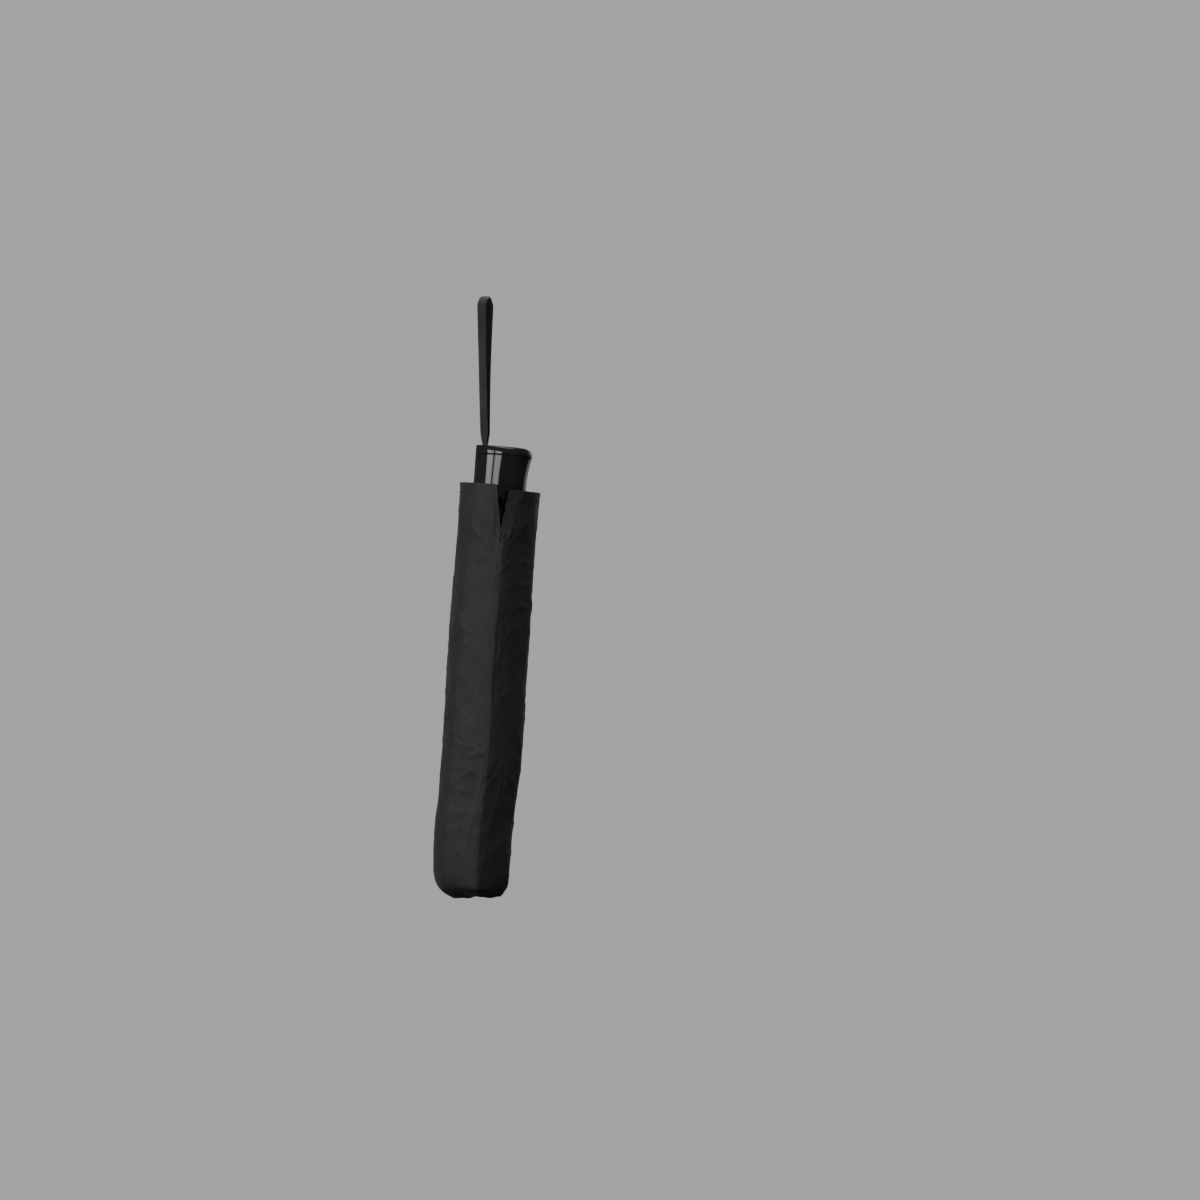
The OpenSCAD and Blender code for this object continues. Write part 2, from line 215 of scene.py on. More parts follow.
def make_lights():
    """Two windows that make the bands on the handle, a rim behind, and lights that model the cloth."""
    softbox("window_left", left=-66, right=-38, height=1.1, rise=0.45, radiance=0.8)
    softbox("window_front", left=-32, right=-6, height=1.1, rise=0.45, radiance=0.72)
    softbox("rim_right", left=128, right=160, height=1.5, rise=0.4, radiance=0.09)
    # high key light that models the cloth; it isn't mirrored in the glossy handle
    area_light("key_high", (-0.8, -1.8, 1.5), (0.5, 0.5), power=17, mirrored=False)
    area_light("top_soft", (0.0, 0.3, 1.6), (1.4, 1.4), power=2)
    # weak light from the lower right, so that the faces turned down and away keep their form
    area_light("fill_right", (1.7, -1.1, -1.0), (0.9, 0.9), power=1.7, mirrored=False)


def make_floor():
    """Plain pale floor, far below the hanging umbrella."""
    floor_z = CAD_BOX[0][2] - FLOOR_DROP
    bpy.ops.mesh.primitive_circle_add(vertices=96, radius=FLOOR_RADIUS, fill_type="NGON",
                                      location=(0, 0, floor_z))
    floor = bpy.context.object
    floor.name = "floor"
    floor.data.materials.append(new_material("floor_paint", (0.74, 0.74, 0.75), 0.6)[0])
    # the floor is only a backdrop: it throws no light up at the umbrella
    floor.visible_diffuse = False
    floor.visible_glossy = False


# ---- materials ----

def new_material(name, colour, roughness):
    """Material with one colour and roughness, and its Principled shader."""
    material = bpy.data.materials.new(name)
    material.use_nodes = True
    shader = material.node_tree.nodes["Principled BSDF"]
    shader.inputs["Base Color"].default_value = (*colour, 1)
    shader.inputs["Roughness"].default_value = roughness
    return material, shader


class Nodes:
    """Short calls for building the node tree of a material or world."""

    def __init__(self, owner):
        self.tree = owner.node_tree

    def feed(self, node, inputs):
        """Link each input whose value is a socket, and set every other."""
        for key, value in dict(inputs).items():
            if isinstance(value, bpy.types.NodeSocket):
                self.tree.links.new(value, node.inputs[key])
            else:
                node.inputs[key].default_value = value

    def add(self, kind, inputs=(), **settings):
        """New node with its inputs fed."""
        node = self.tree.nodes.new(kind)
        for key, value in settings.items():
            setattr(node, key, value)
        self.feed(node, inputs)
        return node

    def math(self, operation, a, b=0.0):
        return self.add("ShaderNodeMath", {0: a, 1: b}, operation=operation).outputs[0]

    def noise(self, vector, scale, detail=3.0, rough=0.5):
        return self.add("ShaderNodeTexNoise", {"Vector": vector, "Scale": scale, "Detail": detail,
                                               "Roughness": rough}).outputs["Fac"]

    def ramp(self, value, low, high, low_colour, high_colour):
        """Colour that goes from one to the other as value goes from low to high."""
        node = self.add("ShaderNodeValToRGB", {"Fac": value})
        node.color_ramp.elements[0].position = low
        node.color_ramp.elements[1].position = high
        node.color_ramp.elements[0].color = (*low_colour, 1)
        node.color_ramp.elements[1].color = (*high_colour, 1)
        return node.outputs["Color"]


def cloth_material(name, dark, light, thread, roughness, sheen, depth=0.00005, twill=0.0):
    """Plain weave: warp and weft ribs along the UV axes, which are in metres."""
    material, shader = new_material(name, dark, roughness)
    n = Nodes(material)
    place = n.add("ShaderNodeUVMap", uv_map="metres").outputs["UV"]
    split = n.add("ShaderNodeSeparateXYZ", {"Vector": place})
    x = n.math("MULTIPLY", split.outputs["X"], math.pi / thread)
    y = n.math("MULTIPLY", split.outputs["Y"], math.pi / thread)
    if twill:
        x = n.math("ADD", x, n.math("MULTIPLY", y, twill))
    warp = n.math("ABSOLUTE", n.math("SINE", x))
    weft = n.math("ABSOLUTE", n.math("SINE", y))
    over = n.math("GREATER_THAN", n.math("MULTIPLY", n.math("SINE", x), n.math("SINE", y)), 0.0)
    under = n.math("SUBTRACT", 1.0, over)
    weave = n.math("ADD", n.math("MULTIPLY", warp, over), n.math("MULTIPLY", weft, under))
    rub = n.noise(place, 45.0, 4.0, 0.6)
    slub = n.noise(place, 900.0, 2.0)
    tone = n.math("ADD", n.math("MULTIPLY", weave, 0.35), n.math("MULTIPLY", rub, 0.65))
    colour = n.ramp(tone, 0.25, 0.8, dark, light)
    rough = n.math("ADD", n.math("MULTIPLY", rub, 0.16), roughness - 0.08)
    height = n.math("ADD", weave, n.math("MULTIPLY", slub, 0.5))
    fine = n.add("ShaderNodeBump", {"Strength": 0.9, "Distance": depth, "Height": height})
    soft = n.add("ShaderNodeBump", {"Strength": 0.35, "Distance": 0.0006, "Height": rub,
                                    "Normal": fine.outputs["Normal"]})
    n.feed(shader, {"Base Color": colour, "Roughness": rough, "Normal": soft.outputs["Normal"],
                    "Sheen Weight": sheen, "Sheen Roughness": 0.45, "Specular IOR Level": 0.33})
    return material


def plastic_material(name, colour, roughness, coat=0.0, grain=0.0, specular=0.5):
    """Moulded plastic with faint handling marks; grain adds a spark-eroded texture."""
    material, shader = new_material(name, colour, roughness)
    n = Nodes(material)
    place = n.add("ShaderNodeTexCoord").outputs["Object"]
    marks = n.noise(place, 60.0, 5.0, 0.6)
    drawn = n.add("ShaderNodeMapping", {"Vector": place, "Scale": (900, 900, 60)})
    streaks = n.noise(drawn.outputs[0], 1.0, 3.0)
    blend = n.math("ADD", n.math("MULTIPLY", marks, 0.7), n.math("MULTIPLY", streaks, 0.3))
    rough = n.math("ADD", n.math("MULTIPLY", blend, roughness * 0.9), roughness * 0.55)
    light = tuple(c * 1.6 + 0.002 for c in colour)
    tint = n.ramp(marks, 0.35, 0.75, colour, light)
    fine = n.noise(place, 2600.0 if grain else 240.0, 2.0)
    relief = n.add("ShaderNodeBump", {"Strength": 0.5 if grain else 0.12,
                                      "Distance": grain or 0.00004, "Height": fine})
    n.feed(shader, {"Base Color": tint, "Roughness": rough, "Normal": relief.outputs["Normal"],
                    "Specular IOR Level": specular, "Coat Weight": coat, "Coat Roughness": 0.04})
    return material


def metal_material(name, colour, roughness):
    """Drawn or brushed metal with fine lines along the shaft."""
    material, shader = new_material(name, colour, roughness)
    n = Nodes(material)
    place = n.add("ShaderNodeTexCoord").outputs["Object"]
    drawn = n.add("ShaderNodeMapping", {"Vector": place, "Scale": (1400, 1400, 30)})
    lines = n.noise(drawn.outputs[0], 1.0, 4.0)
    wear = n.noise(place, 35.0, 5.0)
    tone = n.math("ADD", n.math("MULTIPLY", lines, 0.5), n.math("MULTIPLY", wear, 0.5))
    worn = tuple(c * 0.72 for c in colour)
    tint = n.ramp(tone, 0.3, 0.75, worn, colour)
    rough = n.math("ADD", n.math("MULTIPLY", tone, 0.22), roughness - 0.08)
    relief = n.add("ShaderNodeBump", {"Strength": 0.35, "Distance": 0.00003, "Height": lines})
    n.feed(shader, {"Base Color": tint, "Roughness": rough, "Normal": relief.outputs["Normal"],
                    "Metallic": 1.0})
    return material


def make_materials():
    """Materials by the record's slot names, and the sleeve's thread."""
    return {
        "sleeve_cloth": cloth_material("sleeve_cloth", (0.006, 0.006, 0.0066), (0.017, 0.017, 0.0185),
                                       0.00042, 0.5, 0.05),
        "canopy_cloth": cloth_material("canopy_cloth", (0.006, 0.006, 0.007), (0.014, 0.014, 0.016),
                                       0.0003, 0.58, 0.15, depth=0.00003),
        "webbing": cloth_material("webbing", (0.007, 0.007, 0.008), (0.026, 0.026, 0.028),
                                  0.0007, 0.8, 0.3, depth=0.00012, twill=1.0),
        "thread": cloth_material("thread", (0.008, 0.008, 0.009), (0.02, 0.02, 0.022),
                                 0.0002, 0.7, 0.1),
        "handle_gloss": plastic_material("handle_gloss", (0.0045, 0.0045, 0.005), 0.07,
                                         specular=0.62),
        "black_plastic": plastic_material("black_plastic", (0.012, 0.012, 0.013), 0.42,
                                          grain=0.00006),
        "steel": metal_material("steel", (0.56, 0.56, 0.58), 0.3),
        "aluminium": metal_material("aluminium", (0.66, 0.66, 0.68), 0.26),
        "rib_black": plastic_material("rib_black", (0.01, 0.01, 0.011), 0.3, coat=0.4),
    }


# ---- meshes ----

def add_mesh(name, points, faces, material, uv, sharp=None):
    """Smooth mesh object with UVs in metres. Edges bent more than sharp degrees stay sharp."""
    mesh = bpy.data.meshes.new(name)
    mesh.from_pydata([tuple(p) for p in np.asarray(points).reshape(-1, 3)], [], faces)
    layer = mesh.uv_layers.new(name="metres")
    corners = np.array([loop.vertex_index for loop in mesh.loops])
    layer.data.foreach_set("uv", np.asarray(uv, float).reshape(-1, 2)[corners].ravel())
    mesh.materials.append(MATERIALS[material])
    mesh.shade_smooth()
    obj = bpy.data.objects.new(name, mesh)
    bpy.context.scene.collection.objects.link(obj)
    if sharp:
        mesh.set_sharp_from_angle(angle=math.radians(sharp))
    return obj


def grid_faces(rows, columns, wrap=False, start=0, flip=False):
    """Quads of a rows x columns grid of points, joined round when wrap is set."""
    faces = []
    for r in range(rows - 1):
        for c in range(columns if wrap else columns - 1):
            a, b = start + r * columns + c, start + r * columns + (c + 1) % columns
            quad = (a, b, b + columns, a + columns)
            faces.append(quad[::-1] if flip else quad)
    return faces


def end_faces(rings, sides):
    """The two faces that close a stack of rings, at its first and its last ring."""
    return [tuple(reversed(range(sides))), tuple((rings - 1) * sides + k for k in range(sides))]


def shell(name, outside, inside, material, uv, wrap=False):
    """Closed thin shell from two grids of points. Strips join their borders, which are sharp."""
    rows, columns = outside.shape[:2]
    count = rows * columns
    faces = grid_faces(rows, columns, wrap) + grid_faces(rows, columns, wrap, count, True)

    def strip(path, flip):
        for a, b in zip(path[:-1], path[1:]):
            quad = (b, a, a + count, b + count)
            faces.append(quad[::-1] if flip else quad)

    first = list(range(columns)) + ([0] if wrap else [])
    strip(first, False)
    strip([(rows - 1) * columns + c for c in first], True)
    if not wrap:
        strip([r * columns for r in range(rows)], True)
        strip([r * columns + columns - 1 for r in range(rows)], False)
    points = np.concatenate([outside.reshape(-1, 3), inside.reshape(-1, 3)])
    obj = add_mesh(name, points, faces, material, np.concatenate([uv.reshape(-1, 2)] * 2))
    border = np.zeros((rows, columns), bool)
    border[[0, -1]] = True
    if not wrap:
        border[:, [0, -1]] = True
    on_border = np.tile(border.ravel(), 2)
    a, b = np.array([edge.vertices for edge in obj.data.edges]).T
    crosses_wall = np.abs(a - b) == count
    obj.data.edges.foreach_set("use_edge_sharp", on_border[a] & on_border[b] & ~crosses_wall)
    return obj


def thicken(points, wall, wrap=False):
    """Two grids half a wall to each side of a grid of points."""
    down = np.gradient(points, axis=0)
    if wrap:
        across = np.roll(points, -1, axis=1) - np.roll(points, 1, axis=1)
    else:
        across = np.gradient(points, axis=1)
    normal = np.cross(down, across)
    normal /= np.maximum(np.linalg.norm(normal, axis=-1, keepdims=True), 1e-12)
    offset = normal * (np.asarray(wall) / 2)[..., None]
    return points + offset, points - offset


def lathe(name, rings, material, sides=96):
    """Closed body through rings of (x, h, r, depth), with x to the right of the shaft's axis.

    The radius is r from side to side, and depth from front to back, which is r where it is left out.
    """
    turn = np.linspace(0, 2 * math.pi, sides, endpoint=False)
    points = np.array([shaft(x + r * np.cos(turn), (depth or [r])[0] * np.sin(turn), h)
                       for x, h, r, *depth in rings])
    faces = grid_faces(len(rings), sides, True, flip=True)
    faces.append(tuple(range(sides)))
    faces.append(tuple((len(rings) - 1) * sides + k for k in reversed(range(sides))))
    steps = np.linalg.norm(np.diff(points[:, 0], axis=0), axis=1)
    lengths = np.concatenate([[0], np.cumsum(steps)])
    uv = uv_grid(turn[None, :] * rings[0][2], lengths[:, None])
    return add_mesh(name, points, faces, material, uv, sharp=50)


def tube(name, path, radius, material, sides=10):
    """Round tube through the path's points, closed at both ends."""
    path = np.asarray(path, float)
    step = np.gradient(path, axis=0)
    step /= np.linalg.norm(step, axis=1)[:, None]
    side = np.cross(step[0], UP if abs(step[0] @ UP) < 0.9 else RIGHT)
    turn = np.linspace(0, 2 * math.pi, sides, endpoint=False)[:, None]
    rings = []
    for p, t in zip(path, step):
        side = side - (side @ t) * t
        side /= np.linalg.norm(side)
        rings.append(p + radius * (np.cos(turn) * side + np.sin(turn) * np.cross(t, side)))
    faces = grid_faces(len(rings), sides, True) + end_faces(len(rings), sides)
    span = np.arange(len(rings)) * MM
    uv = uv_grid(np.linspace(0, 4 * MM, sides)[None, :], span[:, None])
    return add_mesh(name, np.array(rings), faces, material, uv)


def join(objects, name):
    """One object made of several."""
    bpy.ops.object.select_all(action="DESELECT")
    for obj in objects:
        obj.select_set(True)
    bpy.context.view_layer.objects.active = objects[0]
    bpy.ops.object.join()
    objects[0].name = name
    objects[0].data.name = name
    return objects[0]


# ---- sleeve ----

SLEEVE_LOW, SLEEVE_MOUTH = reach("sleeve", UP)
SLEEVE_R = (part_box("sleeve")[1].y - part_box("sleeve")[0].y) / 2
SLEEVE_LENGTH = SLEEVE_MOUTH - SLEEVE_LOW
SLEEVE_WALL = 0.7 * MM
SLIT_X = 2.9 * MM
SLIT_DEEP = 33 * MM
SLIT_HALF = 4.5 * MM
SLIT_CURVE = 0.85
# the rest of the sleeve's numbers are in mm: s is the arc from the front, to the right, and d the depth
SEAM = 4.6
HEM_INSET = 6.0
STITCH_PITCH = 2.6
STITCH_SHARE = 0.62
# long slack folds that run down the cloth: phase, place, size
SLACK_FOLDS = ((0.4, -17, 0.4), (1.7, -33, 0.5), (2.9, 19, 0.45), (4.2, 36, 0.5),
               (5.1, 55, 0.5), (0.9, -52, 0.5), (3.3, 68, 0.4), (2.2, -68, 0.4))
# short folds: s and d of one end, s and d of the other, width, height
CREASES = ((-20, 24, 0, 44, 3.0, 0.8), (3, 36, 11, 30, 1.4, 0.7), (2, 55, 11, 49, 1.4, 0.7),
           (-12, 50, -4, 45, 1.5, 0.5), (-10, 176, 4, 172, 1.4, 0.7), (-13, 190, -2, 184, 1.3, 0.45),
           (5, 92, 16, 86, 1.5, 0.3), (-22, 108, -9, 100, 2.4, 0.35), (6, 196, 17, 178, 1.8, 0.35),
           (-18, 226, -4, 219, 2.0, 0.3), (6, 140, 20, 131, 2.0, 0.3), (-40, 60, -24, 71, 2.2, 0.4),
           (26, 150, 44, 139, 2.2, 0.4), (30, 70, 48, 82, 2.4, 0.4), (-60, 170, -40, 158, 2.4, 0.4),
           (50, 205, 70, 196, 2.0, 0.4))
GOLDEN_ANGLE = 2.39996


def sleeve_side(d):
    """Middle, to the right of the shaft, and half width of the sleeve at depth d, as in the photo."""
    length = SLEEVE_LENGTH / MM
    middle = 0.2 + 1.4 * bump(d - 172, 38) - 0.6 * bump(d - 222, 12) + 0.8 * smooth((d - 244) / 18)
    half = SLEEVE_R / MM + 0.3 * bump(d - 96, 22) - 0.3 * bump(d - 36, 18)
    half = half - 0.6 * smooth((d - 180) / 25)
    end = np.clip((d - length + 28) / 28, 0, 1)
    return middle + 4.0 * end ** 7, half - 1.2 * end - 9.4 * end ** 5.5


def crease(s, d, s0, d0, s1, d1, width, height):
    """Fold line between two points of the unrolled cloth, with a shallow valley beside it."""
    ds, dd = s1 - s0, d1 - d0
    size = math.hypot(ds, dd)
    t = ((s - s0) * ds + (d - d0) * dd) / size ** 2
    off = ((s - s0) * dd - (d - d0) * ds) / size
    fade = smooth(t / 0.25) * smooth((1 - t) / 0.25)
    return height * fade * (bump(off, width) - 0.6 * bump(off - 1.7 * width, width))


def crumple(s, d):
    """Shallow creases that cross the cloth in eleven directions, strong in patches."""
    total = 0.12 * np.sin(s / 2.3 + 1.3 * np.sin(d / 9)) * np.sin(d / 6.1 + 0.7 * np.sin(s / 7))
    for k in range(11):
        turn = GOLDEN_ANGLE * k
        u = s * math.cos(turn) + d * math.sin(turn)
        v = d * math.cos(turn) - s * math.sin(turn)
        phase = math.pi * u / (15 + 4 * math.sin(3.1 * k)) + 1.2 * np.sin(v / (17 + 1.5 * k) + k) + k * k
        patch = smooth(0.35 + 0.65 * np.sin(v / (13 + 1.1 * k) + 1.7 * k) * np.sin(u / 21 + 0.9 * k))
        total += 0.32 * patch * (np.exp(-np.abs(np.sin(phase)) / 0.2) - 0.2)
    return total


def pleats(s):
    """Soft pleats where the cloth is drawn in at the closed end."""
    return 0.55 * np.sin(s / 5.1 + 0.6) + 0.3 * np.sin(s / 2.9 + 2.0)


def sleeve_relief(s, d):
    """How far the cloth stands out from the sleeve's plain side."""
    length = SLEEVE_LENGTH / MM
    # the side seam: a ridge between two flatter faces, with the stitched line beside it
    below_slit = smooth((d - 24) / 14)
    relief = 1.8 * np.exp(-np.sqrt((s - SEAM) ** 2 + 5) / 8) * below_slit
    relief -= 1.6 * np.sin(math.pi * np.clip((s - SEAM) / 29, 0, 1)) * below_slit
    relief -= 1.1 * np.sin(math.pi * np.clip((SEAM - s) / 26, 0, 1)) * below_slit
    stitched = smooth((d - 84) / 12) * smooth((150 - d) / 16) + 0.25
    relief -= 0.26 * bump(s - SEAM - 1.6, 0.9) * smooth((d - 36) / 8) * stitched
    for phase, place, size in SLACK_FOLDS:
        drift = 3.0 * np.sin(d / 47 + phase) + 1.2 * np.sin(d / 19 + 2 * phase)
        relief += size * bump(s - place - drift, 5.5) * (0.55 + 0.45 * np.sin(d / 33 + phase))
    for ends in CREASES:
        relief += crease(s, d, *ends)
    # a small dent at the front
    relief -= 0.5 * bump(np.hypot(s + 8, (d - 117) * 0.7), 3.0)
    relief += smooth((d - (length - 26)) / 24) * pleats(s)
    relief += crumple(s, d)
    # the front of the closed end hangs straight and is tucked under
    relief += 8.4 * np.clip((d - length + 28) / 28, 0, 1) ** 5.5 * bump(s, 24)
    relief -= 8.5 * np.clip((d - length + 4.6) / 4.6, 0, 1) * bump(s, 21)
    # the two edges of the cloth meet flat at the back
    return relief * smooth((math.pi * SLEEVE_R / MM - np.abs(s - SLIT_X / MM)) / 9)


def slit_edge(s):
    """Depth of the mouth's edge: a V at the slit, and 3 mm lower on the right and at the back."""
    aside = np.clip(np.abs(s - SLIT_X / MM) / (SLIT_HALF / MM), 0, 1)
    low = smooth((s - 3) / 5) + smooth((-s - 38) / 26)
    return SLIT_DEEP / MM * (1 - aside ** SLIT_CURVE) + 3.0 * low


def sleeve_point(s, d):
    """Place of the cloth at arc s and depth d."""
    middle, half = sleeve_side(d)
    r = half + sleeve_relief(s, d)
    # the flaps beside the slit stand proud: the right one is folded back, the left one lies over it
    open_part = smooth(1 - d / (SLIT_DEEP / MM))
    from_slit = s - SLIT_X / MM
    left, right = 1.0 * np.exp(from_slit / 6), 2.0 * np.exp(-from_slit / 2.2)
    r = r + open_part * np.where(from_slit < 0, left, right)
    angle = s * MM / SLEEVE_R - math.pi / 2
    return shaft((middle + r * np.cos(angle)) * MM, r * np.sin(angle) * MM, SLEEVE_MOUTH - d * MM)


def make_sleeve():
    """Cloth tube with its V-shaped slit, turned in at the mouth and drawn together at the closed end."""
    columns, rows, end_rows = 216, 204, 14
    around = np.linspace(-1, 1, columns, endpoint=False)
    # columns crowd together at the slit
    crowded = around - 0.28 / math.pi * np.sin(math.pi * around)
    s = (math.pi * SLEEVE_R * crowded + SLIT_X)[None, :] / MM
    length = SLEEVE_LENGTH / MM
    top = slit_edge(s)
    d = top + (length - top) * np.linspace(0, 1, rows)[:, None]
    side = sleeve_point(s, d)
    # the closed end: pleats run to its middle, which is drawn in a little
    inward = np.linspace(0, 1, end_rows + 1)[1:, None]
    last_middle, last_half = sleeve_side(np.array(length))
    r = last_half * (1 - inward) ** 0.9 + 0.3
    angle = s * MM / SLEEVE_R - math.pi / 2
    rise = -1.2 * np.sin(inward * math.pi) + 2.2 * inward ** 2
    rise = rise + pleats(s) * (1 - inward)
    rise = rise * smooth(inward / 0.15)
    edge = sleeve_relief(s, np.array([[length]])) * (1 - inward)
    end = shaft((last_middle + (r + edge) * np.cos(angle)) * MM,
                (r + edge) * np.sin(angle) * MM, SLEEVE_LOW + rise * MM)
    points = np.concatenate([side, end])
    # the left corner of the closed end is slack and hangs lower
    near_end = np.concatenate([smooth((d - length + 26) / 26), 1 - inward + 0 * s])
    points[..., 2] -= 3.2 * MM * bump(s + 32, 20) * near_end
    # the hem is folded over, so the wall is thicker near the mouth
    below = np.concatenate([d - top, np.full((end_rows, columns), length)])
    wall = SLEEVE_WALL + 0.5 * MM * smooth(1 - below / 8)
    outside, inside = thicken(points, wall, wrap=True)
    along_cloth = np.concatenate([d + 0 * s, length + last_half * inward + 0 * s]) * MM
    uv = uv_grid(s * MM, along_cloth)
    body = shell("sleeve_cloth_body", outside, inside, "sleeve_cloth", uv, wrap=True)
    limp_sleeve(body)
    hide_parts("sleeve")
    make_sleeve_stitches()


def make_sleeve_stitches():
    """Thread along the hem of the mouth and both edges of the slit: one small bar for each stitch."""
    route = []
    for s in np.arange(-78, 82, STITCH_PITCH):
        if abs(s - SLIT_X / MM) > 8:
            d = slit_edge(s) + HEM_INSET
            route.append((s, d, s + STITCH_SHARE * STITCH_PITCH, d))
    for sign in (-1, 1):
        for d in np.arange(5, 30, STITCH_PITCH):
            open_half = max(0.0, 1 - d / (SLIT_DEEP / MM)) ** (1 / SLIT_CURVE)
            s = SLIT_X / MM + sign * (SLIT_HALF / MM * open_half + 3.0)
            route.append((s, d, s - sign * 0.08 * STITCH_PITCH, d + STITCH_SHARE * STITCH_PITCH))
    stitches = []
    for k, (s0, d0, s1, d1) in enumerate(route):
        t = np.linspace(0, 1, 5)
        surface = sleeve_point(s0 + (s1 - s0) * t, d0 + (d1 - d0) * t)
        centre = CROWN + ((surface - CROWN) @ UP)[:, None] * UP
        outward = surface - centre
        outward /= np.linalg.norm(outward, axis=1)[:, None]
        lift = (SLEEVE_WALL / 2 + 0.3 * MM - 0.25 * MM * (2 * t - 1) ** 2)[:, None]
        stitches.append(tube(f"stitch_{k}", surface + outward * lift, 0.16 * MM, "thread", sides=6))
    thread = join(stitches, "sleeve_stitches")
    limp_sleeve(thread)
    return thread


def limp_sleeve(piece):
    """The sleeve rides with its CAD body."""
    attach(piece, "sleeve")
    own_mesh(piece)


# ---- wrist strap ----

HOOK_R = 5 * MM
HOOK_SHARE = 0.12
STRAP_STEPS = 170
STRAP_COLUMNS = 17
STRAP_THICKNESS = 1 * MM
IN_EYELET = 2.5 * MM


def make_strap():
    """Tape loop: over the hook, then two staggered legs that draw together and dive into the eyelet."""
    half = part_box("wrist_strap")[1].x
    drop = -KNOT[2]
    # t runs along the tape and is 0 on the hook; straight is 0 at the hook and 1 at either end
    t = np.linspace(-1, 1, STRAP_STEPS)
    leg = np.abs(t)
    turn = np.clip(leg / HOOK_SHARE, 0, 1) * math.pi / 2
    straight = np.clip((leg - HOOK_SHARE) / (1 - HOOK_SHARE), 0, 1)
    z = -HOOK_R + HOOK_R * np.cos(turn) - straight * (drop + IN_EYELET - HOOK_R)
    beside = HOOK_R * (1 - straight) ** 1.15 + 0.62 * MM * straight
    away = np.where(leg < HOOK_SHARE, HOOK_R * np.sin(turn), beside)
    y = -np.sign(t) * away
    gather = smooth((straight - 0.86) / 0.14)
    width = half * (1 - 0.1 * smooth(straight / 0.5) - 0.42 * gather)
    # the front leg hangs left of the back leg
    front = -2.35 * (1 - straight) ** 0.55 * np.clip(t / HOOK_SHARE, 0, 1)
    back = (1.9 * (1 - straight) ** 2.2 + 0.4 * (1 - gather)) * np.clip(-t / HOOK_SHARE, 0, 1)
    shift = (front + back) * MM
    # the tape curls across its width where it is gathered
    curl = 0.25 + 1.05 * gather
    across = np.linspace(-1, 1, STRAP_COLUMNS)[None, :]
    bend = across * curl[:, None]
    x = width[:, None] * np.sin(bend) / np.sin(curl)[:, None] + shift[:, None]
    outward = -np.sign(t)[:, None]
    y = y[:, None] - outward * width[:, None] * (1 - np.cos(bend)) * 0.35
    base = np.stack(np.broadcast_arrays(x, y, z[:, None]), axis=-1)
    rise = np.stack(np.broadcast_arrays(0, np.sin(turn)[:, None] * outward, np.cos(turn)[:, None]), axis=-1)
    thick = STRAP_THICKNESS * (1 - 0.45 * np.abs(across) ** 8)
    outside = base + rise * thick[..., None]
    middle = y[:, STRAP_COLUMNS // 2]
    length = np.concatenate([[0], np.cumsum(np.hypot(np.diff(middle), np.diff(z)))])
    uv = uv_grid(across * half, length[:, None])
    strap = shell("wrist_strap_tape", outside, base, "webbing", uv)
    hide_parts("wrist_strap")
    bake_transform(strap)


# ---- handle ----

HANDLE_END = (KNOT - CROWN) @ UP + 0.8 * MM
BUTTON_PROUD = 1.2 * MM
GRIP_R = -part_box("push_button")[0].y - BUTTON_PROUD
RIM_LEFT, RIM_RIGHT = reach("end_cap", RIGHT)
CAP_SEAM = 5.5 * MM
FLARE_START = 23 * MM
STRAP_HOLE_R = 3.15 * MM
BUTTON_H = (vec(sum(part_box("push_button"), Vector()) / 2) - CROWN) @ UP
# the button's half width and half length, and the well that it sits in
BUTTON_SIZE = (4.2 * MM, 8.2 * MM)
WELL_SIZE = (4.6 * MM, 8.6 * MM)


def flare(depth):
    """Offset to the right and radius of the grip at a depth below its end."""
    k = float(np.clip((FLARE_START - depth) / (17.5 * MM), 0, 1)) ** 1.7
    rim_x, rim_r = (RIM_LEFT + RIM_RIGHT) / 2, (RIM_RIGHT - RIM_LEFT) / 2
    return -0.2 * MM + (rim_x + 0.2 * MM) * k, GRIP_R + (rim_r - GRIP_R) * k


def make_handle():
    """Gloss grip: a wider foot, the plain grip, and the flare to the right under the end cap."""
    low = reach("handle_shell", UP)[0]
    proud, length = 2.4 * MM, 10 * MM
    rings = [(0, low, GRIP_R + proud - 0.6 * MM), (0, low + 0.5 * MM, GRIP_R + proud)]
    for k in np.linspace(0.95, 0, 9):
        rings.append((0, low + length * (1 - k), GRIP_R + proud * k ** 1.6))
    depths = np.concatenate([np.linspace(69, 26, 8), np.linspace(24, CAP_SEAM / MM + 0.7, 18)]) * MM
    for depth in depths:
        x, r = flare(depth)
        rings.append((x, HANDLE_END - depth, r, GRIP_R))
    # the rounded edge of the seam
    x, r = flare(CAP_SEAM)
    rings += [(x, HANDLE_END - CAP_SEAM - inset, r - round_off, GRIP_R - round_off)
              for inset, round_off in ((0.45 * MM, 0), (0.3 * MM, 0.06 * MM), (0.2 * MM, 0.25 * MM),
                                       (0.18 * MM, 1.4 * MM))]
    body = lathe("handle_grip", rings, "handle_gloss")
    cut_button_well(body)
    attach(body, "handle")
    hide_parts("handle_shell")


